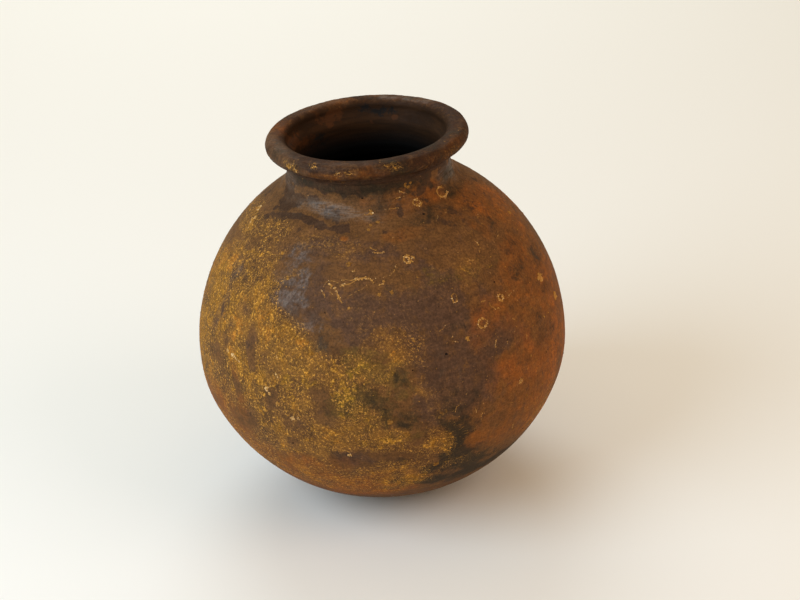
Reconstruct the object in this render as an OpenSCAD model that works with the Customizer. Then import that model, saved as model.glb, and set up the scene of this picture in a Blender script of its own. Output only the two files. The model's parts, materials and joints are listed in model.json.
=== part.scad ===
// Round-bottomed terracotta water jar with a short turned neck and a rolled lip.
// The clay members stand on the Z axis, and each one meets the next on a bevelled
// or flat lap. The origin is the middle of the small flat that the jar rests on.
// All sizes are in millimetres and all angles in degrees.

/* [Body] */
// Outer diameter at the widest level
belly_d = 213.8; // [195:0.1:235]
// Radius of the shoulder's round, seen from the side
shoulder_r = 113; // [105:0.5:122]
// Radius of the tighter round just under the widest level
turn_r = 68; // [56:0.5:80]
// Angle that this tighter round takes before the bowl starts
turn_a = 22; // [14:1:30]
// Thickness of the body's wall
wall = 5.5; // [4:0.1:7]

/* [Base] */
// Diameter of the worn flat that the jar rests on
foot_d = 52; // [44:1:60]
// Thickness of the clay over that flat
base_t = 8; // [6.5:0.5:10]
// Outer diameter of the base piece
base_d = 84; // [78:1:100]

/* [Laps between the members] */
// Height of the bevelled lap at the widest level
belly_lap = 10; // [6:0.5:14]
// How far the neck piece laps down the shoulder below its flare
neck_lap = 8; // [5:0.5:12]

/* [Neck] */
// Outer diameter of the neck at its narrowest
neck_d = 92; // [84:0.5:104]
// Thickness of the neck's wall
neck_wall = 5; // [4:0.1:6]
// Radius of the flare outside, from the neck down to the shoulder
flare_r = 16; // [11:0.5:20]
// Radius of the flare inside, under the throat
throat_flare_r = 14; // [10:0.5:18]
// Height from the neck's narrowest level up to the lip's seat
neck_h = 9.4; // [8:0.1:16]
// Number of shallow rings turned in the flare
rings = 3; // [0:1:5]
// Depth of those rings
ring_depth = 0.4; // [0:0.1:0.8]

/* [Lip] */
// Width of the lip's section
lip_w = 12.2; // [10:0.1:15]
// Height of the lip's section
lip_h = 10; // [8:0.1:12]
// How far the middle of the lip's section stands out from the neck
lip_reach = 4.8; // [4:0.1:6]
// Angle by which the lip's outer side droops
lip_droop = 11; // [0:1:18]
// Height over which the mouth narrows from the seat down to the throat
mouth_drop = 4; // [2:0.5:6]

/* [Fold under the lip] */
// Height of the folded edge
fold_h = 5.4; // [4:0.1:7]
// How far the folded edge stands out from the neck
fold_t = 2.6; // [1.5:0.1:3]
// Height of the round on its lower edge
fold_round = 2; // [1:0.1:3]
// How far its face leans back towards the lip
fold_lean = 0.5; // [0:0.1:1]

/* [Hidden] */
arc_step = 2;
turns_fn = 180;
same_point = 0.001;

belly_r = belly_d / 2;
neck_r = neck_d / 2;
throat_r = neck_r - neck_wall;
foot_r = foot_d / 2;
base_r = base_d / 2;

// Bowl: its round is centred on the axis and runs on from the tighter one
turn_x = belly_r - turn_r;
bowl_r = turn_r + turn_x / cos(turn_a);
bowl_z = sqrt(pow(bowl_r, 2) - pow(foot_r, 2));
belly_z = bowl_z - turn_x * tan(turn_a);
floor_r = sqrt(pow(bowl_r - wall, 2) - pow(bowl_z - base_t, 2));

// Shoulder, and the flares that join it to the neck outside and to the throat inside
shoulder_x = belly_r - shoulder_r;
shoulder_in_r = shoulder_r - wall;
flare_x = neck_r + flare_r;
flare_z = belly_z + leg(shoulder_r + flare_r, flare_x - shoulder_x);
flare_a = atan2(flare_z - belly_z, flare_x - shoulder_x);
throat_x = throat_r + throat_flare_r;
throat_z = belly_z + leg(shoulder_in_r + throat_flare_r, throat_x - shoulder_x);
throat_a = atan2(throat_z - belly_z, throat_x - shoulder_x);

// Lip: an ellipse turned by its droop, flat underneath where it sits on the neck
lip_x = neck_r + lip_reach;
seat_z = flare_z + neck_h;
lip_z = seat_z + lip_h / 2 * cos(lip_droop);
lip_under_a = -90;
lip_inside_a = 180 + atan2(lip_h * sin(lip_droop), lip_w * cos(lip_droop));
lip_inside = lip_point(lip_inside_a);
mouth_z = seat_z - mouth_drop;
seat_in_r = mouth_radius(seat_z);

// Ends of the bevelled laps, as angles on the rounds
belly_lap_a = -belly_lap / (turn_r - wall) * 180 / PI;
neck_lap_a = flare_a - neck_lap / shoulder_r * 180 / PI;

// Other side of a right triangle
function leg(long, side) = sqrt(pow(long, 2) - pow(side, 2));

// Points on a round about (x, z), from angle a0 to angle a1
function arc(x, z, r, a0, a1) =
    let (n = ceil(abs(a1 - a0) / arc_step))
    [for (i = [0:n]) let (a = a0 + (a1 - a0) * i / n) [x + r * cos(a), z + r * sin(a)]];

// Angle on the bowl's round, of radius r, at the distance x from the axis
function bowl_angle(x, r) = -acos(x / r);

// Point on the lip's section at the ellipse's own angle t
function lip_point(t) = [
    lip_x + lip_w / 2 * cos(t) * cos(lip_droop) + lip_h / 2 * sin(t) * sin(lip_droop),
    lip_z - lip_w / 2 * cos(t) * sin(lip_droop) + lip_h / 2 * sin(t) * cos(lip_droop)
];

// Radius of the mouth at the height z: half a cosine wave from the throat to the lip
function mouth_radius(z) =
    let (u = (z - mouth_z) / (lip_inside[1] - mouth_z))
    throat_r + (lip_inside[0] - throat_r) * (1 - cos(180 * u)) / 2;

// Points down the mouth, from the height z0 to the height z1
function mouth_wall(z0, z1) =
    let (n = 10) [for (i = [0:n]) let (z = z0 + (z1 - z0) * i / n) [mouth_radius(z), z]];

// Points up the outside flare, with the shallow rings cut into its round
function ringed_flare() =
    let (n = 36)
    [for (i = [0:n])
        let (u = i / n, a = 180 + flare_a * (1 - u))
        let (r = flare_r + ring_depth * (1 - cos(360 * rings * u)) / 2)
        [flare_x + r * cos(a), flare_z + r * sin(a)]];

// Outline without the points that two stretches share where they meet
function joined(points) =
    let (n = len(points))
    [for (i = [0:n - 1]) if (norm(points[i] - points[(i + 1) % n]) > same_point) points[i]];

module turned(section) {
    rotate_extrude($fn = turns_fn) polygon(joined(section));
}

module base() {
    color([0.36, 0.24, 0.16])
    turned(concat(
        [[0, 0]],
        arc(0, bowl_z, bowl_r, bowl_angle(foot_r, bowl_r), bowl_angle(base_r, bowl_r)),
        [[floor_r, base_t], [0, base_t]]
    ));
}

module lower_wall() {
    color([0.60, 0.38, 0.18])
    turned(concat(
        arc(0, bowl_z, bowl_r, bowl_angle(base_r, bowl_r), -turn_a),
        arc(turn_x, belly_z, turn_r, -turn_a, 0),
        arc(turn_x, belly_z, turn_r - wall, belly_lap_a, -turn_a),
        arc(0, bowl_z, bowl_r - wall, -turn_a, bowl_angle(floor_r, bowl_r - wall))
    ));
}

module upper_wall() {
    color([0.52, 0.33, 0.19])
    turned(concat(
        arc(shoulder_x, belly_z, shoulder_r, 0, neck_lap_a),
        arc(shoulder_x, belly_z, shoulder_in_r, throat_a, 0),
        arc(turn_x, belly_z, turn_r - wall, 0, belly_lap_a)
    ));
}

module neck_collar() {
    color([0.40, 0.27, 0.19])
    turned(concat(
        arc(shoulder_x, belly_z, shoulder_r, neck_lap_a, flare_a),
        ringed_flare(),
        [[neck_r, seat_z]],
        mouth_wall(seat_z, mouth_z),
        arc(throat_x, throat_z, throat_flare_r, 180, 180 + throat_a)
    ));
}

module lip_fold() {
    color([0.34, 0.22, 0.15])
    turned(concat(
        [for (i = [0:8]) let (a = 90 * i / 8)
            [neck_r + fold_t * sin(a), seat_z - fold_h + fold_round * (1 - cos(a))]],
        [[neck_r + fold_t - fold_lean, seat_z], [neck_r, seat_z]]
    ));
}

module rolled_lip() {
    sweep = lip_inside_a - lip_under_a;
    steps = 60;
    color([0.37, 0.25, 0.17])
    turned(concat(
        [for (i = [0:steps]) lip_point(lip_under_a + sweep * i / steps)],
        mouth_wall(lip_inside[1], seat_z)
    ));
}

base();
lower_wall();
upper_wall();
neck_collar();
lip_fold();
rolled_lip();
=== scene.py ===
# %% [markdown]
# # A smoked terracotta water jar
# The jar is a round pot of dark, slipped earthenware that has spent years in damp soil and smoke.
# The imported model gives its clay members at their true places: a base, two walls, a neck collar,
# the fold under the lip and the rolled lip. This lesson gives each member a hand-made surface,
# works out where soot, rust, bloom and the dry ochre crust lie on it, paints shade under the lip
# and down the throat and highlights on the shoulder, neck and lip into the colour, and builds the
# worm-like mud tracks that are stuck to its shoulder.

# %% Load the frame
import json
import bpy
import numpy as np
from mathutils import Matrix, Vector


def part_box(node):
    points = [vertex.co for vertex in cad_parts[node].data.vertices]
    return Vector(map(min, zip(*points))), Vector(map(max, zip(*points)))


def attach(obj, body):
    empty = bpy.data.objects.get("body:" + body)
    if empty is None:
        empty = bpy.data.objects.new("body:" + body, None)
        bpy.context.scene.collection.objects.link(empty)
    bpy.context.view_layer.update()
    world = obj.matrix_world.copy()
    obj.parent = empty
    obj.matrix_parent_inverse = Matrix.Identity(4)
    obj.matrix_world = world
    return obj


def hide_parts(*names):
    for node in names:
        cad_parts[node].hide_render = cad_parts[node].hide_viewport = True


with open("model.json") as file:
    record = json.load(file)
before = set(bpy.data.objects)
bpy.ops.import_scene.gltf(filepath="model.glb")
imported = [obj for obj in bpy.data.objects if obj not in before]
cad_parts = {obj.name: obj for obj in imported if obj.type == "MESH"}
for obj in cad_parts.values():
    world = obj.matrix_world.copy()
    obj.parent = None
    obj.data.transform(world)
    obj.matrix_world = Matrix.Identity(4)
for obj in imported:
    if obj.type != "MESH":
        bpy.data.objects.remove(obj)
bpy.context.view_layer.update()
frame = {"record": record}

MM = 0.001

# %% [markdown]
# ## Sizes
# A potter would take these off the pot with callipers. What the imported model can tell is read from
# its boxes and its throat's mount, so the looks follow the frame. The radii of the rounds can't be
# read from a box, so they stand here as sizes. All of them are in millimetres, and turn into metres
# only when a mesh is made.

# %% Sizes from the frame
belly_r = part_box("lower_wall")[1][0] / MM
belly_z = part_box("lower_wall")[1][2] / MM
base_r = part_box("base")[1][0] / MM
base_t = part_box("base")[1][2] / MM
seat_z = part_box("neck_collar")[1][2] / MM
fold_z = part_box("lip_fold")[0][2] / MM
fold_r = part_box("lip_fold")[1][0] / MM
lip_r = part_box("rolled_lip")[1][0] / MM
throat_r = [m for m in frame["record"]["mounts"] if m["name"] == "throat"][0]["dims"]["r_mm"]

SHOULDER_R = 113.0
TURN_R = 68.0
TURN_A = np.radians(22.0)
WALL = 5.5
FLARE_R = 16.0
THROAT_FLARE_R = 14.0
NECK_WALL = 5.0
NECK_LAP = 8.0
BELLY_LAP = 10.0
RINGS = 3
RING_DEPTH = 0.25
LIP_W = 12.2
LIP_H = 10.0
LIP_DROOP = np.radians(11.0)
MOUTH_DROP = 4.0
FOLD_ROUND = 2.0
FOLD_LEAN = 0.5


def leg(long, side):
    """Other side of a right triangle: the root of long squared less side squared."""
    return np.sqrt(long ** 2 - side ** 2)


neck_r = throat_r + NECK_WALL
turn_x = belly_r - TURN_R
bowl_r = TURN_R + turn_x / np.cos(TURN_A)
bowl_z = belly_z + turn_x * np.tan(TURN_A)
foot_r = leg(bowl_r, bowl_z)
floor_r = leg(bowl_r - WALL, bowl_z - base_t)
shoulder_x = belly_r - SHOULDER_R
flare_x = neck_r + FLARE_R
flare_z = belly_z + leg(SHOULDER_R + FLARE_R, flare_x - shoulder_x)
flare_a = np.arctan2(flare_z - belly_z, flare_x - shoulder_x)
throat_x = throat_r + THROAT_FLARE_R
throat_z = belly_z + leg(SHOULDER_R - WALL + THROAT_FLARE_R, throat_x - shoulder_x)
throat_a = np.arctan2(throat_z - belly_z, throat_x - shoulder_x)
lip_x = lip_r - np.hypot(LIP_W / 2 * np.cos(LIP_DROOP), LIP_H / 2 * np.sin(LIP_DROOP))
lip_z = seat_z + LIP_H / 2 * np.cos(LIP_DROOP)
mouth_z = seat_z - MOUTH_DROP
print("widest %.1f at %.1f, foot %.1f, neck %.1f, lip centre (%.1f, %.1f)"
      % (belly_r, belly_z, foot_r, neck_r, lip_x, lip_z))

# %% [markdown]
# ## Outlines
# Seen in section, the jar's wall is a chain of rounds. An outline here is an array of points
# (distance from the axis, height). A modifier such as Screw could turn one into a pot, but the wall
# is computed instead, because every point then knows its own direction outwards, and that is what
# pushes dents, rings and crust in and out later.

# %% Outline helpers
FINE = np.radians(0.25)
HEM = 0.05


def arc(x, z, r, start, end):
    """Points on the round about (x, z): x + r cos a and z + r sin a, for a from start to end."""
    a = np.linspace(start, end, int(abs(end - start) / FINE) + 2)
    return np.stack([x + r * np.cos(a), z + r * np.sin(a)], axis=1)


def chain(*stretches):
    """One outline from several that meet end to end, without the points they share."""
    points = np.concatenate(stretches)
    keep = np.r_[True, np.hypot(*np.diff(points, axis=0).T) > 1e-4]
    return points[keep]


def spaced(points, step):
    """Places and outward directions along an outline, at most step apart.

    The distance along the outline is the running sum of its chords. One more place lies close to
    each end, so that the narrow strip there takes the wall's own slope and the ends shade cleanly.
    Outwards is the slope (dr, dz) turned a quarter: (dz, -dr).
    """
    reach = np.r_[0, np.cumsum(np.hypot(*np.diff(points, axis=0).T))]
    even = np.linspace(0, reach[-1], int(np.ceil(reach[-1] / step)) + 1)
    at = np.r_[0, HEM, even[1:-1], reach[-1] - HEM, reach[-1]]
    slope = np.gradient(points, reach, axis=0)
    place = np.stack([np.interp(at, reach, points[:, k]) for k in (0, 1)], axis=1)
    lean = np.stack([np.interp(at, reach, slope[:, k]) for k in (0, 1)], axis=1)
    outward = np.stack([lean[:, 1], -lean[:, 0]], axis=1)
    return place, outward / np.linalg.norm(outward, axis=1, keepdims=True)


def bowl_angle(x, r):
    """Angle on the bowl's round of radius r at the distance x from the axis."""
    return -np.arccos(x / r)


def lip_section(t):
    """Point of the lip's section at the angle t: an ellipse about its centre, turned by the droop."""
    across, up = LIP_W / 2 * np.cos(t), LIP_H / 2 * np.sin(t)
    return np.stack([lip_x + across * np.cos(LIP_DROOP) + up * np.sin(LIP_DROOP),
                     lip_z - across * np.sin(LIP_DROOP) + up * np.cos(LIP_DROOP)], axis=-1)


lip_inside_a = np.pi + np.arctan2(LIP_H * np.sin(LIP_DROOP), LIP_W * np.cos(LIP_DROOP))
lip_inside = lip_section(lip_inside_a)


def mouth_wall(start, end):
    """Points down the mouth: half a cosine wave carries the radius from the lip to the throat."""
    z = np.linspace(start, end, 40)
    u = (z - mouth_z) / (lip_inside[1] - mouth_z)
    return np.stack([throat_r + (lip_inside[0] - throat_r) * (1 - np.cos(np.pi * u)) / 2, z], axis=1)


def ringed_flare():
    """The flare's round with shallow rings: its radius swells by half a cosine wave for each ring."""
    u = np.linspace(0, 1, 160)
    a = np.pi + flare_a * (1 - u)
    r = FLARE_R + RING_DEPTH * (1 - np.cos(2 * np.pi * RINGS * u)) / 2
    return np.stack([flare_x + r * np.cos(a), flare_z + r * np.sin(a)], axis=1)


# %% [markdown]
# ## The six outlines
# Each clay member has an outside that runs up and an inside that runs down. Where one ends and the
# next begins they share a bevelled lap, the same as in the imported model.

# %% Outlines of the members
neck_lap_a = flare_a - NECK_LAP / SHOULDER_R
belly_lap_a = -BELLY_LAP / (TURN_R - WALL)
base_a = bowl_angle(base_r, bowl_r)

base_outside = arc(0, bowl_z, bowl_r, bowl_angle(foot_r, bowl_r), base_a)
lower_outside = chain(arc(0, bowl_z, bowl_r, base_a, -TURN_A), arc(turn_x, belly_z, TURN_R, -TURN_A, 0))
lower_inside = chain(arc(turn_x, belly_z, TURN_R - WALL, belly_lap_a, -TURN_A),
                     arc(0, bowl_z, bowl_r - WALL, -TURN_A, bowl_angle(floor_r, bowl_r - WALL)))
upper_outside = arc(shoulder_x, belly_z, SHOULDER_R, 0, neck_lap_a)
upper_inside = chain(arc(shoulder_x, belly_z, SHOULDER_R - WALL, throat_a, 0),
                     arc(turn_x, belly_z, TURN_R - WALL, 0, belly_lap_a))
collar_outside = chain(arc(shoulder_x, belly_z, SHOULDER_R, neck_lap_a, flare_a), ringed_flare(),
                       np.array([[neck_r, flare_z + 1.0], [neck_r, seat_z]]))
collar_inside = chain(mouth_wall(seat_z, mouth_z), np.array([[throat_r, mouth_z], [throat_r, throat_z]]),
                      arc(throat_x, throat_z, THROAT_FLARE_R, np.pi, np.pi + throat_a))
nose = np.linspace(0, np.pi / 2, 24)
fold_outside = chain(np.stack([neck_r + (fold_r - neck_r) * np.sin(nose),
                               fold_z + FOLD_ROUND * (1 - np.cos(nose))], axis=1),
                     np.array([[fold_r - FOLD_LEAN, seat_z]]))
fold_inside = np.array([[neck_r, seat_z], [neck_r, (seat_z + fold_z) / 2], [neck_r, fold_z]])
lip_outside = chain(lip_section(np.linspace(-np.pi / 2, lip_inside_a, 400)),
                    mouth_wall(lip_inside[1], seat_z))
wall_outline = chain(base_outside, lower_outside, upper_outside, collar_outside)
print("outside wall, foot to seat, mm:", round(float(np.hypot(*np.diff(wall_outline, axis=0).T).sum()), 1))

# %% [markdown]
# ## Noise
# Clay is never even, so most fields below start from noise. Blender's own noise textures live in
# the shader and can't move a vertex, and calling mathutils.noise once per vertex is slow. This
# version works on whole arrays: each corner of a grid of cells gets a scrambled number, and the
# eight corners round a point are blended smoothly.

# %% Noise on whole arrays
def scramble(cell, seed):
    """A number in -1..1 for each whole-number cell: its indices times odd factors, bits folded."""
    i = cell.astype(np.int64)
    h = (i[..., 0] * 374761393 + i[..., 1] * 668265263 + i[..., 2] * 1103515245 + seed * 144665) & 0xFFFFFFFF
    h = ((h ^ (h >> 13)) * 1274126177) & 0xFFFFFFFF
    return (h ^ (h >> 16)) / 2147483647.5 - 1.0


def noise(p, size, seed=0):
    """Smooth noise in -1..1 with cells of the given size: corners weighed by 3t^2 - 2t^3 on each axis."""
    cell = np.floor(p / size)
    t = p / size - cell
    w = t * t * (3 - 2 * t)
    total = np.zeros(p.shape[:-1])
    for corner in np.ndindex(2, 2, 2):
        weight = np.prod(np.where(corner, w, 1 - w), axis=-1)
        total += weight * scramble(cell + np.array(corner), seed)
    return total


def cloud(p, size, seed=0, octaves=4):
    """Layers of noise summed, each of half the size and 0.55 of the strength of the one before."""
    total, norm = 0.0, 0.0
    for layer in range(octaves):
        strength = 0.55 ** layer
        total = total + strength * noise(p, size / 2 ** layer, seed + 17 * layer)
        norm += strength
    return total / norm


def ease(x, low, high):
    """0 below low, 1 above high, and 3t^2 - 2t^3 between them."""
    t = np.clip((x - low) / (high - low), 0, 1)
    return t * t * (3 - 2 * t)


# %% [markdown]
# ## Places on the jar
# Every mark on the jar is placed by its azimuth and its height. Azimuth 0 is the side that faces the
# camera, and it grows towards the right. On the rolled lip the second number is the angle round the
# section instead: 0 faces outwards, 90 is the top and 180 faces the mouth. Each place gets a small
# frame of three directions: along the jar's round, up the wall, and out of it.

# %% Frames on the wall, the lip and the mouth
def azimuth(p):
    """Azimuth in degrees of points (x, y, z): the angle from the -Y side towards +X."""
    return np.degrees(np.arctan2(p[..., 0], -p[..., 1]))


def place_frame(az, r, z, slope_r, slope_z):
    """Point at (azimuth, r, z) with its directions along, up and out; up follows (slope_r, slope_z)."""
    az = np.radians(az)
    away = np.stack([np.sin(az), -np.cos(az), np.zeros_like(az)], axis=-1)
    along = np.stack([np.cos(az), np.sin(az), np.zeros_like(az)], axis=-1)
    up = away * slope_r[..., None] + np.array([0, 0, 1.0]) * slope_z[..., None]
    up /= np.linalg.norm(up, axis=-1, keepdims=True)
    return away * r[..., None] + np.array([0, 0, 1.0]) * z[..., None], along, up, np.cross(along, up)


def on_wall(az, z):
    """Frames on the outside wall: the distance from the axis is read off the outline at that height."""
    az, z = np.broadcast_arrays(np.asarray(az, float), np.asarray(z, float))
    r, above, below = (np.interp(z + d, wall_outline[:, 1], wall_outline[:, 0]) for d in (0, 0.5, -0.5))
    return place_frame(az, r, z, above - below, np.ones_like(z))


def on_lip(az, turn):
    """Frames on the rolled lip, with the angle round its section in degrees."""
    az, turn = np.broadcast_arrays(np.asarray(az, float), np.radians(np.asarray(turn, float)))
    here, ahead = lip_section(turn), lip_section(turn + 0.05)
    return place_frame(az, here[..., 0], here[..., 1], *np.moveaxis(ahead - here, -1, 0))


def in_mouth(az, z):
    """Frames on the inside of the mouth; out points away from the axis there, into the clay."""
    az, z = np.broadcast_arrays(np.asarray(az, float), np.asarray(z, float))
    wall = mouth_wall(mouth_z, lip_inside[1])
    r, above, below = (np.interp(z + d, wall[:, 1], wall[:, 0]) for d in (0, 0.5, -0.5))
    return place_frame(az, r, z, above - below, np.ones_like(z))


def pushed_about(p):
    """The points moved by up to about 5 mm each way by noise, which bends every patch out of its ellipse."""
    return p + 7 * np.stack([cloud(p, 24, seed, 3) for seed in (71, 72, 73)], axis=-1)


def patches(p, pushed, spots, ragged, seed):
    """How strongly a finish lies at each point, from 0 to 1.

    A spot is a frame, a half width, a half height, a turn in degrees and a strength. The distance
    from it is measured in its own ellipse, on the pushed points (less for a small spot), and a
    cloud of finer noise frets its edge. Spots add up, and a negative strength wipes the finish away.
    """
    fret = 0.75 * cloud(p, ragged, seed, 4)
    total = np.zeros(p.shape[:-1])
    for (centre, along, up, out), half_w, half_h, turn, strength in spots:
        d = p + (pushed - p) * min(1, min(half_w, half_h) / 8) - centre
        u, v, depth = d @ along, d @ up, d @ out
        c, s = np.cos(np.radians(turn)), np.sin(np.radians(turn))
        q = np.sqrt(((c * u + s * v) / half_w) ** 2 + ((c * v - s * u) / half_h) ** 2
                    + (depth / (2 * max(half_w, half_h))) ** 2)
        total += strength * (1 - ease(q + fret, 0.45, 1.35))
    return np.clip(total, 0, 1)


# %% [markdown]
# ## Relief
# The real wall was beaten round by hand over a wheel-turned start, so it is a little out of round,
# has wide shallow flats below and fine turning lines above. The relief is one field over the whole
# jar, in millimetres outwards, so that two members that meet get the same push at their seam. It
# only sinks in at the widest level, which keeps the jar inside its imported size.

# %% Relief of the outside
SEAM_NOTCH_AZ = 86.0


def bump_at(x, centre, width):
    """A soft bump: e to the power of minus the squared distance from the centre over the width."""
    return np.exp(-((x - centre) / width) ** 2)


def wall_relief(p):
    """Push of the wall in mm: out of round, beaten flats, turning lines and a notch at the seam."""
    az, z = azimuth(p), p[..., 2]
    body = ease(z, 3, 14) * (1 - ease(z, 180, 196))
    oval = -0.38 - 0.33 * np.cos(2 * np.radians(az)) - 0.5 * bump_at(az, -85, 40) * ease(z, 105, 150)
    flats = 0.26 * cloud(p, 36, 1, 2) * (1 - 0.5 * ease(z, 100, 150))
    skin = 0.06 * cloud(p, 7, 2, 3)
    wheel = 0.04 * np.sin(z * 1.9 + 2 * noise(p, 60, 3)) * ease(z, 95, 130)
    notch = -0.8 * bump_at(z, belly_z + 0.6, 0.9) * bump_at(az, SEAM_NOTCH_AZ, 7)
    neck = ease(z, 182, 196) * (1 - ease(z, seat_z - 4, seat_z - 1))
    return body * (oval + flats + skin + wheel + notch) + neck * (0.12 * cloud(p, 14, 4, 2) - 0.15)


def lip_relief(p):
    """Push of the lip in mm: finger lumps, a faint arris, a flattened top and a rough outer face."""
    az, z = azimuth(p), p[..., 2]
    turn = np.degrees(np.arctan2(z - lip_z, np.hypot(p[..., 0], p[..., 1]) - lip_x))
    outer = ease(np.cos(np.radians(turn)), -0.3, 0.5)
    arris = 0.35 * bump_at(turn, 42, 18) - 0.3 * bump_at(turn, 92, 30)
    rough = 0.16 * cloud(p, 3.0, 6, 3) - 0.35 * ease(noise(p, 5, 7), 0.45, 0.9)
    lumps = 0.28 * cloud(p, 16, 5, 2) - 0.1 - 0.35 * bump_at(az, -110, 40) + 0.3 * bump_at(az, 85, 30)
    return ease(z, seat_z + 0.3, seat_z + 2.5) * (lumps + arris + outer * rough)


def mouth_relief(p):
    """Push of the lining in mm: shallow finger rings, fading out at the floor and at the seat."""
    z = p[..., 2]
    hidden = ease(z, base_t + 1, base_t + 9) * (1 - ease(z, seat_z - 1.5, seat_z - 0.3))
    deep = 1 - 0.75 * ease(z, 180, 200)
    return hidden * deep * (0.2 * np.sin(z * 1.15 + 1.5 * noise(p, 50, 8)) + 0.1 * np.sin(z * 2.6))


# %% [markdown]
# ## Where the finishes lie
# The jar was smoked, half buried and wiped, so its colours lie in big soft patches. Each finish is a
# list of given places, frayed by noise. The values are kept on the vertices as named
# attributes, which a material can read, and the fine grain inside a patch is left to the shader.
# Some finishes also carry painted light: soot and slip paint the shade under the lip, and bloom, sheen and
# the lip's wear paint highlights.

# %% Patches of each finish on the wall
OCHRE = [(-47, 138, 44, 30, 0, 0.56), (-52, 165, 36, 16, 0, 0.3), (-60, 178, 24, 8, 0, 0.38),
         (-74, 128, 28, 54, 0, 0.6), (-27, 122, 34, 24, -10, 0.36), (-10, 112, 28, 24, 0, 0.2),
         (-45, 102, 36, 18, 0, 0.45), (-14, 88, 36, 14, 0, 0.2), (-22, 73, 48, 12, 0, 0.27),
         (2, 76, 26, 11, 0, 0.2), (13, 76, 9, 10, 0, 0.5), (2, 55, 22, 14, 0, 0.4),
         (-22, 54, 30, 10, 0, 0.22), (6, 44, 12, 7, 0, 0.5), (20, 158, 44, 12, 0, 0.05),
         (2, 124, 22, 18, -20, 0.12), (14, 96, 22, 12, 0, 0.1), (4, 135, 24, 12, 0, 0.1),
         (-30, 178, 24, 8, 0, 0.12), (26, 50, 18, 8, 0, 0.06), (-78, 176, 26, 12, 0, 0.4),
         (-55, 62, 40, 20, 0, 0.2), (-20, 38, 60, 12, 0, 0.25), (40, 166, 30, 12, 0, 0.05),
         (62, 60, 20, 20, 0, 0.2), (-8, 127, 12, 6, 0, 0.15), (-44, 122, 5, 18, 10, -0.6),
         (-36, 106, 6, 15, -10, -0.55), (-51, 103, 4, 12, 15, -0.55), (-30, 130, 5, 10, 20, -0.4),
         (-21, 114, 6, 14, 10, -0.4), (-57, 126, 4, 10, 0, -0.6), (-5, 104, 16, 16, 0, -0.15),
         (-30, 82, 6, 12, -20, -0.3), (-8, 80, 6, 9, 15, -0.25), (-66, 160, 7, 9, 0, -0.7),
         (-64, 142, 4, 14, 12, -0.65), (-54, 143, 8, 5, -20, -0.5), (-47, 127, 12, 8, 20, -0.2),
         (-66, 130, 5, 12, 0, -0.7), (-50, 92, 14, 8, 0, -0.15), (-20, 100, 12, 12, 0, -0.25),
         (4, 116, 9, 7, 0, -0.45), (8, 80, 8, 6, 20, -0.25), (-17, 142, 8, 8, 0, -0.3),
         (-10, 66, 14, 7, 20, -0.4), (1, 68, 11, 5, -15, -0.3), (-40, 167, 6, 10, 0, -0.35),
         (-28, 156, 14, 12, 0, -0.7), (-18, 138, 14, 10, -20, -0.5), (6, 95, 10, 10, 0, -0.5),
         (-92, 120, 30, 44, 0, 0.4), (-148, 84, 44, 34, 10, 0.36), (-166, 64, 30, 16, 0, 0.25),
         (-134, 108, 26, 12, -20, 0.22), (-118, 78, 24, 20, 0, 0.2), (-178, 118, 22, 18, 0, 0.16),
         (152, 122, 30, 30, 10, 0.34), (136, 146, 22, 12, 0, 0.2), (166, 96, 14, 16, 0, 0.16),
         (118, 50, 26, 14, 0, 0.3), (94, 128, 16, 26, 0, 0.12)]
OLIVE = [(-8, 127, 14, 8, 0, 0.8), (2, 118, 16, 12, 0, 0.7), (-12, 110, 18, 14, 0, 0.5),
         (-4, 98, 26, 22, 0, 0.5), (42, 158, 24, 7, -10, 0.35), (20, 158, 20, 8, 0, 0.35),
         (-26, 120, 20, 14, 0, 0.4), (14, 52, 20, 8, 0, 0.4), (140, 150, 40, 24, 0, 0.5),
         (-120, 130, 30, 30, 0, 0.5), (-170, 60, 36, 24, 0, 0.5)]
RUST = [(60, 118, 46, 44, 0, 0.55), (36, 133, 18, 8, 20, 0.5), (44, 92, 26, 24, 0, 0.35),
        (45, 66, 26, 12, 0, 0.6), (25, 68, 8, 8, 0, 0.9), (74, 162, 30, 22, 0, 0.5),
        (66, 184, 26, 8, 0, 0.45), (36, 192, 22, 7, 0, 0.5), (60, 80, 24, 20, 0, 0.6),
        (62, 52, 24, 8, 0, 0.8), (-40, 54, 54, 15, 0, 0.9), (-15, 41, 54, 12, 0, 0.9),
        (-18, 30, 50, 9, 0, 1.0), (-66, 76, 30, 24, 0, 0.7), (-86, 110, 14, 50, 0, 0.5),
        (78, 100, 20, 60, 0, 0.6), (24, 190, 30, 8, 0, 0.25), (70, 176, 20, 10, 0, 0.3),
        (42, 112, 16, 16, 0, -0.3), (-16, 181, 2.6, 1.8, 0, 1.2), (-50, 110, 10, 5, 0, 0.4),
        (14, 181, 14, 6, 0, 0.4), (10, 197, 18, 5, 0, 0.3), (120, 150, 40, 30, 0, 0.6),
        (-140, 140, 36, 28, 0, 0.6),
        (175, 60, 44, 24, 0, 0.7), (95, 60, 36, 20, 0, 0.6)]
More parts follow.
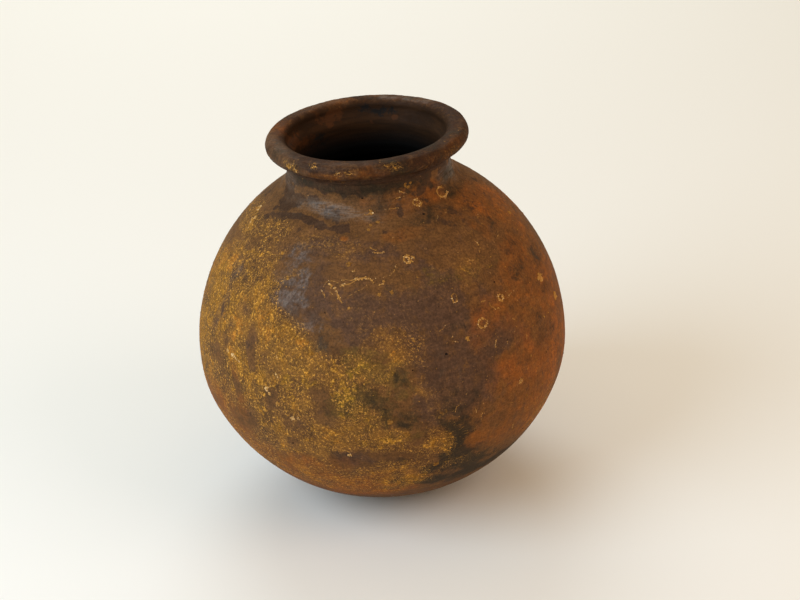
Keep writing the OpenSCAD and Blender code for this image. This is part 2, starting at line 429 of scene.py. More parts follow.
# Soot spots; the wide ones along the top of the neck paint the shade under the lip.
SOOT_AND_PAINTED_SHADE = [(7, 92, 9, 8, 0, 0.35), (21, 90, 12, 15, 0, 0.35), (19, 74, 8, 14, 0, 0.85),
        (20, 60, 14, 9, 0, 1.0), (30, 36, 28, 7, 0, 0.9), (16, 66, 8, 8, 0, 0.5), (14, 50, 12, 9, 0, 0.9),
        (26, 48, 20, 8, 0, 0.9), (12, 41, 22, 5, 0, 0.9), (38, 38, 24, 7, 0, 0.6),
        (-2, 36, 14, 3, 0, 0.5), (62, 156, 9, 10, 0, 0.35), (57, 149, 8, 5, 0, 0.3),
        (75, 147, 9, 9, 0, 0.55), (70, 130, 10, 5, 0, 0.35), (58, 172, 9, 5, 0, 0.3),
        (28, 184, 12, 5, 0, 0.25), (63, 188, 12, 5, 0, 0.2), (69, 195, 10, 4, 0, 0.6),
        (40, 186, 7, 4, 0, 0.2), (-44, 120, 5, 15, 10, 0.15), (-36, 106, 6, 12, -10, 0.25),
        (-20, 137, 10, 8, 0, 0.5), (-4, 108, 10, 10, 0, 0.45), (27, 138, 12, 5, 20, 0.3),
        (4, 116, 7, 6, 0, 0.45), (25, 80, 10, 9, 0, 0.5), (-20, 202, 40, 4.5, 0, 0.6),
        (-4, 86, 14, 7, 0, 0.3), (-16, 68, 9, 5, 0, 0.3), (2, 62, 8, 5, 0, 0.3),
        (4, 198, 24, 5, 0, 0.2),
        (60, 110, 16, 12, 0, 0.35), (-8, 98, 26, 14, 0, 0.25), (-44, 88, 16, 7, 0, 0.2),
        (44, 186, 26, 6, 0, 0.2), (34, 193, 30, 6, 0, 0.3), (110, 90, 30, 40, 0, 0.4),
        (-120, 60, 36, 30, 0, 0.45), (165, 160, 30, 20, 0, 0.45), (-170, 110, 22, 36, 0, 0.4)]
# Grey bloom; the pale spots on the left shoulder and the small one right of the neck also paint soft
# highlights.
BLOOM_AND_PAINTED_HIGHLIGHT = [(-37, 166, 12, 14, 0, 0.7), (-29, 162, 5, 10, 8, 0.85), (-26, 150, 18, 9, -10, 0.55),
         (-18, 137, 14, 11, -20, 0.6), (-38, 153, 12, 5, 0, 0.6), (17, 116, 18, 14, 0, 0.4),
         (-66, 156, 10, 18, 8, 0.7), (-24, 174, 26, 8, 0, 0.3), (-52, 186, 16, 4, 0, 0.3),
         (75, 148, 8, 6, 0, 0.5), (69, 197, 9, 3, 0, 0.5), (-130, 150, 18, 20, 0, 0.6),
         (130, 100, 16, 24, 0, 0.5)]
PLUM = [(20, 128, 42, 30, 0, 0.8), (4, 152, 36, 16, 0, 0.8), (20, 102, 26, 20, 0, 0.8),
        (-20, 176, 44, 9, 0, 0.6), (-67, 158, 8, 14, 8, 0.7), (-64, 142, 6, 16, 12, 0.7),
        (-54, 143, 10, 7, -20, 0.5), (-47, 127, 12, 9, 0, 0.4), (-27, 93, 14, 12, 0, 0.25),
        (-10, 66, 14, 8, 0, 0.6), (-66, 132, 7, 14, 0, 0.7), (-30, 155, 18, 14, 0, 0.7),
        (45, 112, 16, 20, 0, 0.4), (150, 80, 40, 40, 0, 0.7), (-110, 110, 30, 40, 0, 0.7)]
# Dark slip drips on the neck, and a band just under the lip that paints the lip's shade.
SLIP_AND_PAINTED_SHADE = [(-44, 185.5, 24, 2.8, 4, 1.4), (-63, 190, 9, 6, 0, 1.0), (-20, 203, 60, 5, 0, 1.2),
        (28, 205, 30, 3, 0, 0.9), (-30, 185, 5, 2.6, -8, 0.9), (100, 198, 60, 5, 0, 0.7),
        (-120, 198, 60, 5, 0, 0.7), (180, 186, 40, 5, 0, 0.6)]
# These spots paint a grey highlight on the neck and give it coat gloss.
GLOSS_AND_PAINTED_HIGHLIGHT = [(-26, 191, 22, 4.2, -4, 1.2), (-70, 196, 16, 6, 0, 0.4), (66, 196, 14, 5, 0, 0.5),
         (6, 192, 30, 8, 0, 0.2), (110, 196, 30, 7, 0, 0.5), (-140, 194, 40, 7, 0, 0.5),
         (175, 192, 30, 8, 0, 0.5)]

WALL_FINISHES = {"ochre": (OCHRE, 16, 31), "olive": (OLIVE, 14, 37), "rust": (RUST, 20, 32),
                 "soot_and_painted_shade": (SOOT_AND_PAINTED_SHADE, 9, 33), "bloom_and_painted_highlight": (BLOOM_AND_PAINTED_HIGHLIGHT, 8, 34), "plum": (PLUM, 16, 35),
                 "slip_and_painted_shade": (SLIP_AND_PAINTED_SHADE, 5, 36), "gloss_and_painted_highlight": (GLOSS_AND_PAINTED_HIGHLIGHT, 12, 38)}

# %% Patches on the lip and in the mouth
# Rubbed wear on the lip; the thin streak at the front of its top paints a highlight.
LIP_WEAR_AND_PAINTED_HIGHLIGHT = [(-78, 85, 34, 7, 0, 0.85), (-16, 72, 18, 2.4, 0, 0.45), (-50, 45, 12, 4, 0, 0.35),
            (70, 105, 30, 3, 0, 0.3), (150, 110, 40, 4, 0, 0.4), (-150, 90, 30, 5, 0, 0.5)]
# These spots paint a grey highlight on the lip and give it coat gloss.
LIP_GLOSS_AND_PAINTED_HIGHLIGHT = [(-20, 78, 30, 4, 0, 0.2), (150, 150, 20, 5, 0, 0.6), (-70, 100, 30, 4, 0, 0.2)]
LIP_RUST = [(60, 50, 30, 6, 0, 0.15), (-120, 195, 26, 6, 0, 0.15), (-100, 190, 16, 5, 0, 0.15),
            (-150, 20, 24, 6, 0, 0.3), (150, 30, 40, 8, 0, 0.4), (-20, 5, 30, 3, 0, 0.3)]
LIP_SOOT = [(2, 25, 26, 6, 0, 0.2), (178, 165, 13, 5, 0, 0.35), (-60, -10, 20, 5, 0, 0.3),
            (150, 120, 26, 5, 0, 0.3), (40, -20, 40, 5, 0, 0.3)]
LIP_OCHRE = [(-49, 15, 7, 4, 0, 0.5), (-15, 15, 12, 3, 0, 0.2), (14, 38, 6, 3, 0, 0.35),
             (-32, 60, 3, 2, 0, 0.5), (50, 20, 12, 3, 0, 0.15), (-100, 20, 16, 4, 0, 0.3),
             (160, 10, 20, 4, 0, 0.3)]
MOUTH_RUST = [(-106, 211, 12, 6, 0, 0.7), (-122, 206, 8, 5, 0, 0.7), (-154, 212, 10, 4.5, 10, 0.75),
              (157, 210, 2, 1.5, 0, 0.9), (176, 207, 2, 1.5, 0, 0.7), (60, 210, 10, 5, 0, 0.5)]
MOUTH_SOOT = [(178, 213, 14, 4, 0, 0.5), (-135, 202, 9, 5, 0, 0.5)]
LIP_FINISHES = {"worn": (LIP_WEAR_AND_PAINTED_HIGHLIGHT, 5, 41), "rust": (LIP_RUST, 9, 42), "soot_and_painted_shade": (LIP_SOOT, 9, 43),
                "ochre": (LIP_OCHRE, 6, 44), "gloss_and_painted_highlight": (LIP_GLOSS_AND_PAINTED_HIGHLIGHT, 6, 47)}
MOUTH_FINISHES = {"rust": (MOUTH_RUST, 7, 45), "soot_and_painted_shade": (MOUTH_SOOT, 7, 46)}
FIELDS = ["ochre", "olive", "rust", "soot_and_painted_shade", "bloom_and_painted_highlight", "plum", "slip_and_painted_shade", "worn", "gloss_and_painted_highlight", "inside"]


def finishes(p, table, frame_at):
    """Strength of every finish in the table at the points p. Unnamed finishes are 0 everywhere."""
    found = {name: np.zeros(p.shape[:-1]) for name in FIELDS}
    pushed = pushed_about(p)
    for name, (places, ragged, seed) in table.items():
        spots = [(frame_at(az, at), w, h, turn, much) for az, at, w, h, turn, much in places]
        found[name] = patches(p, pushed, spots, ragged, seed)
    return found


def wall_looks(p):
    """Finishes of the outside wall."""
    return finishes(p, WALL_FINISHES, on_wall)


def mouth_looks(p):
    """Finishes of the lining: dark everywhere, with a few stains close to the mouth; the lining paint turns
    it black with painted shade down the throat.
    """
    return finishes(p, MOUTH_FINISHES, in_mouth) | {"inside": np.ones(p.shape[:-1])}


def lip_looks(p):
    """Finishes of the lip. The side that faces the axis turns into the dark lining."""
    turn = np.degrees(np.arctan2(p[..., 2] - lip_z, np.hypot(p[..., 0], p[..., 1]) - lip_x)) % 360
    inward = ease(turn, 120, 175) * (1 - ease(turn, 262, 270))
    outer, inner = finishes(p, LIP_FINISHES, on_lip), mouth_looks(p)
    return {name: outer[name] * (1 - inward) + inner[name] * inward for name in FIELDS}


# %% [markdown]
# ## From rows to a closed wall
# A member's wall is a loop of rows: up the outside, across the lap, down the inside and across the
# lower lap. Every row is a ring round the axis. Joining each row to the next and the last to the
# first gives a closed, watertight ring with no loose edges.

# %% Building a member
SHARP = np.radians(40)


def ring_points(place, outward, columns):
    """Rows of rings: (r sin az, -r cos az, z) for each place, with the outward directions beside them."""
    az = np.radians(np.linspace(-180, 180, columns, endpoint=False))
    turn = np.stack([np.sin(az), -np.cos(az)], axis=1)
    shape = (len(place), columns, 1)
    return tuple(np.concatenate([v[:, None, :1] * turn, np.broadcast_to(v[:, None, 1:], shape)], axis=2)
                 for v in (place, outward))


def quads(rows, columns, wrap):
    """Corner numbers of the quads between neighbouring rows and columns; wrap joins last row to first."""
    index = np.arange(rows * columns).reshape(rows, columns)
    low = index if wrap else index[:-1]
    high = np.roll(index, -1, axis=0) if wrap else index[1:]
    return np.stack([low, np.roll(low, -1, 1), np.roll(high, -1, 1), high], axis=-1).reshape(-1, 4)


def new_mesh(name, points, faces, fields):
    """A smooth mesh object from points in mm and arrays of corner numbers, with named vertex fields."""
    mesh = bpy.data.meshes.new(name)
    corners = [np.asarray(group) for group in faces]
    mesh.vertices.add(len(points))
    mesh.vertices.foreach_set("co", (points * MM).astype(np.float32).ravel())
    sizes = np.concatenate([np.full(len(group), group.shape[1]) for group in corners])
    mesh.loops.add(int(sizes.sum()))
    order = np.concatenate([group.ravel() for group in corners])
    mesh.loops.foreach_set("vertex_index", order.astype(np.int32))
    mesh.polygons.add(len(sizes))
    mesh.polygons.foreach_set("loop_start", np.r_[0, np.cumsum(sizes)[:-1]].astype(np.int32))
    mesh.update(calc_edges=True)
    mesh.shade_smooth()
    mesh.set_sharp_from_angle(angle=SHARP)
    for field, values in fields.items():
        data = mesh.attributes.new(field, "FLOAT", "POINT").data
        data.foreach_set("value", values.astype(np.float32).ravel())
    piece = bpy.data.objects.new(name, mesh)
    bpy.context.scene.collection.objects.link(piece)
    print("%-18s %7d vertices, %7d triangles" % (name, len(points), int((sizes - 2).sum())))
    return piece


def between(a, b, n):
    """n rows evenly spaced between the rows a and b, without either."""
    t = (np.arange(n) + 1)[:, None, None] / (n + 1)
    return a * (1 - t) + b * t


def member(name, outside, inside, columns, step, inside_step, lap_rows=3):
    """One closed clay member: relief and finishes on the outside, finger rings and a dark lining inside."""
    p, ways = ring_points(*spaced(outside, step), columns)
    skin = p + ways * wall_relief(p)[..., None]
    q, q_ways = ring_points(*spaced(inside, inside_step), columns)
    lining = q + q_ways * mouth_relief(q)[..., None]
    laps = between(skin[-1], lining[0], lap_rows), between(lining[-1], skin[0], lap_rows)
    grid = np.concatenate([skin, laps[0], lining, laps[1]])
    outer = wall_looks(p)
    inner = mouth_looks(grid[len(skin):])
    fields = {field: np.concatenate([outer[field], inner[field]]) for field in FIELDS}
    return new_mesh(name, grid.reshape(-1, 3), [quads(len(grid), columns, True)], fields)


# %% Walls, collar and fold
lower_wall = member("lower_wall_clay", lower_outside, lower_inside, 640, 1.15, 4.5)
upper_wall = member("upper_wall_clay", upper_outside, upper_inside, 640, 1.1, 4.5)
neck_collar = member("neck_collar_clay", collar_outside, collar_inside, 560, 0.5, 0.8)
lip_fold = member("lip_fold_clay", fold_outside, fold_inside, 560, 0.4, 1.2)


# %% Rolled lip
def lip_piece(name, columns=640, step=0.42):
    """The lip: one loop of rows round its section and down the mouth, closed by its flat seat."""
    p, ways = ring_points(*spaced(lip_outside, step), columns)
    skin = p + ways * lip_relief(p)[..., None]
    grid = np.concatenate([skin, between(skin[-1], skin[0], 8)])
    return new_mesh(name, grid.reshape(-1, 3), [quads(len(grid), columns, True)], lip_looks(grid))


rolled_lip = lip_piece("rolled_lip_clay")


# %% Base, closed at its two poles
def base_piece(name, columns=320):
    """The base: rings from the middle of the foot out, up the bowl, over the bevel and back in."""
    foot = np.stack([np.linspace(3, foot_r, 8), np.zeros(8)], axis=1)
    top = np.stack([np.linspace(floor_r, 3, 10), np.full(10, base_t)], axis=1)
    p, ways = ring_points(*spaced(base_outside, 1.0), columns)
    skin = p + ways * wall_relief(p)[..., None]
    under, over = ring_points(foot[:-1], foot[:-1], columns)[0], ring_points(top, top, columns)[0]
    grid = np.concatenate([under, skin, between(skin[-1], over[0], 3), over])
    points = np.concatenate([grid.reshape(-1, 3), [[0, 0, 0], [0, 0, base_t]]])
    first = np.arange(columns)
    last = first + (len(grid) - 1) * columns
    fans = np.concatenate([np.stack([np.roll(first, -1), first, np.full(columns, len(points) - 2)], axis=1),
                           np.stack([last, np.roll(last, -1), np.full(columns, len(points) - 1)], axis=1)])
    fields = {field: np.append(values.ravel(), [0, 0]) for field, values in wall_looks(grid).items()}
    fields["inside"] = np.append((grid[..., 2] > base_t - 0.1).ravel() * 1.0, [0, 1])
    return new_mesh(name, points, [quads(len(grid), columns, False), fans], fields)


base = base_piece("base_clay")

# %% Each new piece stands for its clay member
for piece, node in [(base, "base"), (lower_wall, "lower_wall"), (upper_wall, "upper_wall"),
                    (neck_collar, "neck_collar"), (lip_fold, "lip_fold"), (rolled_lip, "rolled_lip")]:
    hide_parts(node)
    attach(piece, "root")

# %% [markdown]
# ## Crust stuck to the wall
# Insects and roots left thin worm-like tracks of dry mud on the shoulder, with rings, flakes and a
# granular ochre deposit. Painted on, they would look flat from the side, so they are small solids
# whose undersides sink a little into the clay. Hundreds of them are made in one go: every crumb or
# thread is a short stack of rings with a pole at each end, and numpy works on all the stacks at once.

# %% Surface under the crust
def wall_surface(az, z):
    """Frames on the real, uneven wall: the point is pushed out by the relief there."""
    point, along, up, out = on_wall(az, z)
    return point + out * wall_relief(point)[..., None], along, up, out


def lip_surface(az, turn):
    """Frames on the uneven lip."""
    point, along, up, out = on_lip(az, turn)
    return point + out * lip_relief(point)[..., None], along, up, out


def stacks(centres, side, top, half_side, half_top, sides):
    """Closed solids from stacks of rings, for arrays (solid, ring, 3).

    A ring is centre + cos t * half_side * side + sin t * half_top * top. The rings are joined in
    order, and the first and the last centre close the ends.
    """
    count, rings = centres.shape[:2]
    t = np.linspace(0, 2 * np.pi, sides, endpoint=False)
    across = np.cos(t)[:, None] * half_side[..., None, None] * side[..., None, :]
    upward = np.sin(t)[:, None] * half_top[..., None, None] * top[..., None, :]
    body = (centres[..., None, :] + across + upward).reshape(count, -1, 3)
    points = np.concatenate([body, centres[:, :1], centres[:, -1:]], axis=1)
    wall = quads(rings, sides, False)
    first, last = np.arange(sides), np.arange(sides) + (rings - 1) * sides
    fans = np.concatenate([np.stack([np.roll(first, -1), first, np.full(sides, rings * sides)], axis=1),
                           np.stack([last, np.roll(last, -1), np.full(sides, rings * sides + 1)], axis=1)])
    shift = np.arange(count)[:, None, None] * points.shape[1]
    faces = [(wall + shift).reshape(-1, 4), (fans + shift).reshape(-1, 3)]
    return points.reshape(-1, 3), faces, points.shape[1]


# %% Mud tracks
TRACKS = [(-14.5, 162, 40, -75, 20, 1.3), (-14.5, 164.5, 15, -10, 11, 0.9), (-4, 163, -95, -80, 12, 0.6),
          (-3, 164.5, 0, 0, 3.5, 0.7), (2, 165, -95, -80, 6.5, 1.2), (-16.5, 161.5, -45, -30, 10, 1.2),
          (-15.5, 159.5, -60, -20, 5, 0.7), (-21, 161, 80, -130, 11, 0.6),
          (-19, 162.5, -10, -70, 2.5, 1.3), (-21.5, 160, -35, -20, 4.5, 1.0),
          (-18.5, 159.5, -5, -50, 2.6, 0.9), (9, 170.5, -145, 40, 9, 0.6), (-2.5, 178, -95, 95, 5, 0.9),
          (-1.5, 175.7, 0, 5, 7, 0.9), (-5, 189.5, -15, 30, 5, 1.2), (38.5, 142.5, -95, 90, 8, 0.8),
          (35.5, 144.5, -5, 0, 3.5, 1.0), (47, 144, -95, 0, 3.5, 0.6), (46.5, 140.5, 5, -10, 7.5, 0.6),
          (46, 169.5, -80, 0, 3.5, 0.8), (46.5, 166.5, -150, 15, 7, 0.5), (37, 163.5, 0, -15, 5.5, 0.8),
          (59.5, 177, 180, 15, 4, 0.6), (37, 184, -115, 0, 2.3, 0.5), (61, 167, -155, 0, 5, 0.5),
          (52.5, 181.5, 20, -60, 3.2, 0.5), (37.5, 124.5, -170, 90, 4, 0.7),
          (36.5, 122.5, -160, 100, 4, 0.7), (21, 131, -20, 0, 5, 0.6), (21.5, 132, 50, 0, 3, 0.6),
          (20.5, 139, -160, 20, 4.5, 0.5), (45.5, 130, -90, 0, 2, 0.6), (49.5, 118, -100, 0, 3.2, 0.7),
          (26, 90.5, -70, 0, 4, 0.7), (28, 80.5, 75, 0, 1.8, 0.6), (42, 67, -90, 0, 4.5, 0.7),
          (40.5, 120.5, -90, 0, 2, 0.7), (-85, 180.5, -35, 0, 3.5, 1.6), (-81.5, 176, -25, -10, 8, 1.5),
          (-53.5, 116.5, -15, 0, 7, 1.3), (-60, 107, -80, 0, 3.6, 0.9), (-35, 125.5, -55, 0, 3, 1.0),
          (-34.5, 116, -45, 0, 2.3, 1.3), (-39, 109, -80, 0, 4.5, 1.2), (-22.5, 75.5, -10, 0, 4.6, 0.7),
          (-15.5, 72.5, 45, -90, 6, 0.9), (21.5, 96, -150, 20, 6.5, 0.6), (10, 112, -70, 30, 5, 0.5),
          (8, 191, -20, 20, 8, 0.7), (14, 194, 30, -60, 7, 0.8), (19, 199, -70, 60, 6, 0.8),
          (58, 55, -130, 0, 6, 0.8), (64, 63, -110, 10, 8, 0.8), (52, 60, -90, 20, 5, 0.6)]
LIP_TRACKS = [(-52, 30, -40, 60, 5, 0.9), (-46, 5, 20, -60, 4, 0.8), (-19, 14, 10, 40, 4, 0.7),
              (-13, 24, -30, 60, 4, 0.7), (13, 45, -60, 40, 3, 0.6), (16, 28, 10, -50, 3.5, 0.6),
              (-33, 64, 0, 50, 2, 0.8)]
RINGS_OF_MUD = [(12.5, 171, 1.7, 1.9), (29.5, 190, 2.2, 1.5), (51, 191.5, 2.9, 1.5),
                (26.5, 150.5, 2.1, 1.1), (43.5, 142, 1.9, 1.4), (33.5, 133.5, 3.0, 1.2),
                (43.5, 94, 1.3, 1.1), (28.5, 84.5, 1.1, 0.8), (-9.5, 168.5, 0.7, 0.8),
                (112, 150, 2.6, 0.9), (140, 120, 2.2, 0.8), (-118, 134, 2.4, 0.8), (-150, 165, 2.0, 0.9),
                (172, 96, 1.8, 0.7)]
unseen = np.random.default_rng(11)


def random_tracks(count):
    """Tracks for the sides that the camera doesn't see: (azimuth, height, heading, turn, length, width)."""
    columns = [unseen.uniform(*span, count) for span in ((100, 265), (60, 190), (-180, 180), (-110, 110))]
    return np.stack(columns + [unseen.gamma(3, 2.0, count) + 2, unseen.uniform(0.5, 1.2, count)], axis=1)


def wall_radius(z):
    """Distance of the wall from the axis at a height."""
    return np.interp(z, wall_outline[:, 1], wall_outline[:, 0])


WALL_PER_MM = (lambda z: np.degrees(1 / wall_radius(z)), lambda z: on_wall(0 * z, z)[2][..., 2])
LIP_PER_MM = (lambda turn: np.degrees(1 / (lip_r - 1 + 0 * turn)),
              lambda turn: np.degrees(2 / LIP_H) + 0 * turn)


def ring_tracks(rings_of_mud):
    """Tracks that go once round: length 2 pi r, a turn of 352 degrees, from r to the right of the middle."""
    az, z, r, width = np.array(rings_of_mud).T
    start = az + r * np.degrees(1 / wall_radius(z))
    return np.stack([start, z, 0 * az + 90, 0 * az + 352, 2 * np.pi * r, width], axis=1)


def track_paths(tracks, rings, seed, wobble=34):
    """Steps along and up for every track: the heading starts at its angle, turns steadily, and wobbles."""
    s = np.linspace(0, 1, rings)
    number = np.arange(len(tracks))[:, None]
    sway = noise(np.stack(np.broadcast_arrays(s * 5, number * 1.0, 0.0), axis=-1), 1.0, seed)
    heading = np.radians(tracks[:, 2:3] + tracks[:, 3:4] * s + wobble * sway)
    step = tracks[:, 4:5] / (rings - 1)
    steps = np.stack([np.cos(heading), np.sin(heading)], axis=-1) * step[..., None]
    return np.cumsum(steps, axis=1) - steps[:, :1]


def track_solids(tracks, surface, per_mm, seed, rings=26, sides=8, thick=1.0):
    """Half-sunk worms laid along their paths; per_mm gives degrees of azimuth and the second unit per mm."""
    path = track_paths(tracks, rings, seed)
    az = tracks[:, 0:1] + path[..., 0] * per_mm[0](tracks[:, 1:2])
    at = tracks[:, 1:2] + path[..., 1] * per_mm[1](tracks[:, 1:2])
    point, along, up, out = surface(az, at)
    ahead = np.gradient(point, axis=1)
    side = np.cross(out, ahead)
    side /= np.linalg.norm(side, axis=-1, keepdims=True)
    s = np.linspace(0, 1, rings)
    taper = np.sqrt(np.clip(np.sin(np.pi * (0.04 + 0.92 * s)), 0, 1))
    lumpy = 0.75 + 0.6 * noise(point, 1.3, seed + 1)
    width = thick * tracks[:, 5:6] / 2 * taper * lumpy
    return stacks(point - 0.05 * out, side, out, width, width * 0.45, sides)


def grains(tracks, surface, per_mm, seed, apart=0.3):
    """Grains strewn along each path, about one for every 0.3 mm, with gaps where noise is low.

    A grain's place is the path's own place plus a normal scatter of 0.26 times the track's width.
    """
    rng = np.random.default_rng(seed)
    path = track_paths(tracks, 26, seed)
    count = np.maximum(tracks[:, 4] / apart * (0.5 + tracks[:, 5]), 4).astype(int)
    which = np.repeat(np.arange(len(tracks)), count)
    s = rng.uniform(0, 25, len(which))
    kept = noise(np.stack([s * 0.3, which * 1.0, s * 0], axis=1), 1.0, seed + 2) > -0.35
    s, which = s[kept], which[kept]
    low, part = s.astype(int), (s % 1)[:, None]
    here = path[which, low] * (1 - part) + path[which, low + 1] * part
    here = here + rng.normal(0, 0.26, here.shape) * tracks[which, 5:6]
    start = tracks[which, 1]
    radius = np.clip(tracks[which, 5] * rng.lognormal(-1.5, 0.35, len(which)), 0.13, 0.5)
    return domes(tracks[which, 0] + here[:, 0] * per_mm[0](start), start + here[:, 1] * per_mm[1](start),
                 radius, radius * 0.55, surface, seed + 3)


def domes(az, at, radius, height, surface, seed, sides=6, wild=0.45):
    """Closed low domes: three rings and two poles, sunk a little into the wall, each with a ragged rim."""
    rng = np.random.default_rng(seed)
    point, along, up, out = surface(az, at)
    spin = rng.uniform(0, np.pi, len(point))[:, None]
    first = np.cos(spin) * along + np.sin(spin) * up
    second = np.cross(out, first)
    levels, widths = np.array([-0.1, 0.5, 1.0]), np.array([1.0, 0.85, 0.35])
    lift = np.where(levels < 0, levels, levels * height[:, None])
    centres = point[:, None] + out[:, None] * lift[..., None]
    stretch = rng.uniform(0.7, 1.4, (len(point), 1))
    shape = (len(point), len(levels), 3)
    widths = widths * radius[:, None]
    points, faces, each = stacks(centres, np.broadcast_to(first[:, None], shape),
                                 np.broadcast_to(second[:, None], shape),
                                 widths * stretch, widths / stretch, sides)
    middle = np.repeat(point, each, axis=0)
    return middle + (points - middle) * (1 + wild * noise(points, 0.8, seed)[:, None]), faces, each


def crust_piece(name, parts, seed):
    """One mesh from several sets of solids. Each solid's tone is random between its set's two limits.

    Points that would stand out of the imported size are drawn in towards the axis, x and y times
    the largest radius over their own.
    """
    rng = np.random.default_rng(seed)
    points, faces, tones, start = [], [], [], 0
    for (cloud_points, groups, each), low, high in parts:
        points.append(cloud_points)
        faces += [group + start for group in groups]
        tones.append(np.repeat(rng.uniform(low, high, len(cloud_points) // each), each))
        start += len(cloud_points)
    points = np.concatenate(points)
    reach = np.hypot(points[:, 0], points[:, 1])
    points[:, :2] *= np.minimum(1, (belly_r - 0.03) / reach)[:, None]
    return new_mesh(name, points, faces, {"tone": np.concatenate(tones)})


def mud_sets(tracks, surface, per_mm, seed):
    """What a set of tracks is made of: a thin darker worm below and lighter grains on top."""
    tracks = np.asarray(tracks, float)
    return [(track_solids(tracks, surface, per_mm, seed, thick=0.6), 0.3, 0.65),
            (grains(tracks, surface, per_mm, seed), 0.3, 0.95)]


mud_tracks = crust_piece("mud_tracks", mud_sets(TRACKS, wall_surface, WALL_PER_MM, 51)
                         + mud_sets(LIP_TRACKS, lip_surface, LIP_PER_MM, 53), 1)
mud_tracks_behind = crust_piece("mud_tracks_behind",
                                mud_sets(random_tracks(46), wall_surface, WALL_PER_MM, 52), 6)
mud_rings = crust_piece("mud_rings", mud_sets(ring_tracks(RINGS_OF_MUD), wall_surface, WALL_PER_MM, 54), 2)

# %% Flakes, crumbs and threads
FLAKES = [(-11.5, 171.5, 1.5, 0.3), (68, 137, 2.6, 0.8), (74, 120.5, 2.2, 0.75), (81, 167, 1.3, 0.6),
          (27, 129.5, 1.3, 0.7), (0, 158, 1.1, 0.5), (4.5, 158.5, 1.1, 0.4), (-29.5, 91.5, 1.3, 1.0),
          (-27.5, 92, 0.8, 0.95), (-34, 99, 1.3, 0.7), (-13, 70, 1.1, 0.9), (0, 92, 1.8, 0.35),
          (4.5, 83, 1.6, 0.3), (-6, 74.5, 1.4, 0.4), (-11, 152.5, 0.7, 0.7), (49.5, 105, 0.7, 0.5),
          (-1, 191, 0.9, 0.5), (2.5, 186.5, 1.0, 0.5), (-1.5, 185.5, 0.9, 0.5), (-3, 184, 0.9, 0.5),
          (15.5, 171.5, 0.9, 0.6), (24, 201, 1.2, 0.4), (26, 199.5, 1.0, 0.4), (28, 201.5, 0.8, 0.4),
          (14, 56, 1.6, 0.35), (-53, 117, 1.6, 1.0), (-56, 118, 1.2, 1.0), (-38, 106, 1.3, 1.0),
          (-37, 103.5, 1.0, 0.9), (-84, 180, 1.6, 1.0), (-79, 177, 1.3, 0.9)]
PITS = [(19, 125, 0.9), (30, 186, 0.8), (-31, 74, 0.6), (44, 150, 0.6), (-6, 197, 0.7), (58, 100, 0.6),
        (8, 120, 0.5)]


def flake_sets(flakes, seed):
    """Every flake is a low ragged plate with a dozen grains heaped on it."""
    rng = np.random.default_rng(seed)
    az, z, r, tone = np.array(flakes).T
    sets = []
    for k in range(len(az)):
        one = slice(k, k + 1)
        reach, turn = r[k] * np.sqrt(rng.uniform(0, 1, 12)), rng.uniform(0, 2 * np.pi, 12)
        side, rise = WALL_PER_MM[0](z[one]), WALL_PER_MM[1](z[one])
        wide, high = r[k] * rng.uniform(0.2, 0.45, 12), r[k] * rng.uniform(0.12, 0.3, 12)
        heap = domes(az[k] + reach * np.cos(turn) * side, z[k] + reach * np.sin(turn) * rise,
                     wide, high, wall_surface, seed + k)
        plate = domes(az[one], z[one], r[one] * 0.8, r[one] * 0.12, wall_surface, seed + k, sides=14)
        sets += [(heap, max(tone[k] - 0.25, 0), tone[k]), (plate, tone[k] * 0.5, tone[k] * 0.7)]
    return sets


def scattered(count, low_z, high_z, rng):
    """Random places spread evenly over the wall between two heights."""
    z = rng.uniform(low_z, high_z, count)
    keep = rng.uniform(0, belly_r, count) < wall_radius(z)
    return rng.uniform(-180, 180, count)[keep], z[keep]


def deposit_places(count, seed, low, ragged):
    """Random places, kept where the ochre field and a cloud of noise together pass a limit."""
    az, z = scattered(count, 14, 186, np.random.default_rng(seed))
    p = on_wall(az, z)[0]
    spots = [(on_wall(a, b), w, h, turn, much) for a, b, w, h, turn, much in OCHRE]
    cover = patches(p, pushed_about(p), spots, WALL_FINISHES["ochre"][1], 31)
    keep = cover + 0.9 * cloud(p, ragged, seed, 3) > low
    return az[keep], z[keep]


def thread_tracks(az, z, rng, longest):
    """Short threads with random headings and turns, 0.2 to 0.42 mm thick."""
    n = len(az)
    return np.stack([az, z, rng.uniform(-180, 180, n), rng.uniform(-150, 150, n), rng.uniform(2, longest, n),
                     rng.uniform(0.2, 0.42, n)], axis=1)


crumb_rng = np.random.default_rng(21)
az, z = deposit_places(9000, 61, 0.6, 7)
crumb_r = np.clip(crumb_rng.lognormal(-1.15, 0.4, len(az)), 0.18, 0.8)
far_az, far_z = scattered(900, 30, 190, crumb_rng)
far_r = np.clip(crumb_rng.lognormal(-1.3, 0.35, len(far_az)), 0.16, 0.6)
dense = domes(az, z, crumb_r, crumb_r * 0.45, wall_surface, 62)
sparse = domes(far_az, far_z, far_r, far_r * 0.4, wall_surface, 63)
ochre_crumbs = crust_piece("ochre_crumbs", [(dense, 0.0, 0.8), (sparse, 0.0, 0.6)], 3)
mud_flakes = crust_piece("mud_flakes", flake_sets(FLAKES, 64), 4)
pit_az, pit_z, pit_r = np.array(PITS).T
far_az, far_z = scattered(160, 30, 196, crumb_rng)
far_r = crumb_rng.uniform(0.2, 0.45, len(far_az))
pits = domes(pit_az, pit_z, pit_r, pit_r * 0.08, wall_surface, 68, 10)
specks_of_soot = domes(far_az, far_z, far_r, far_r * 0.2, wall_surface, 69)
soot_specks = crust_piece("soot_specks", [(pits, 0.0, 0.2), (specks_of_soot, 0.0, 1.0)], 7)

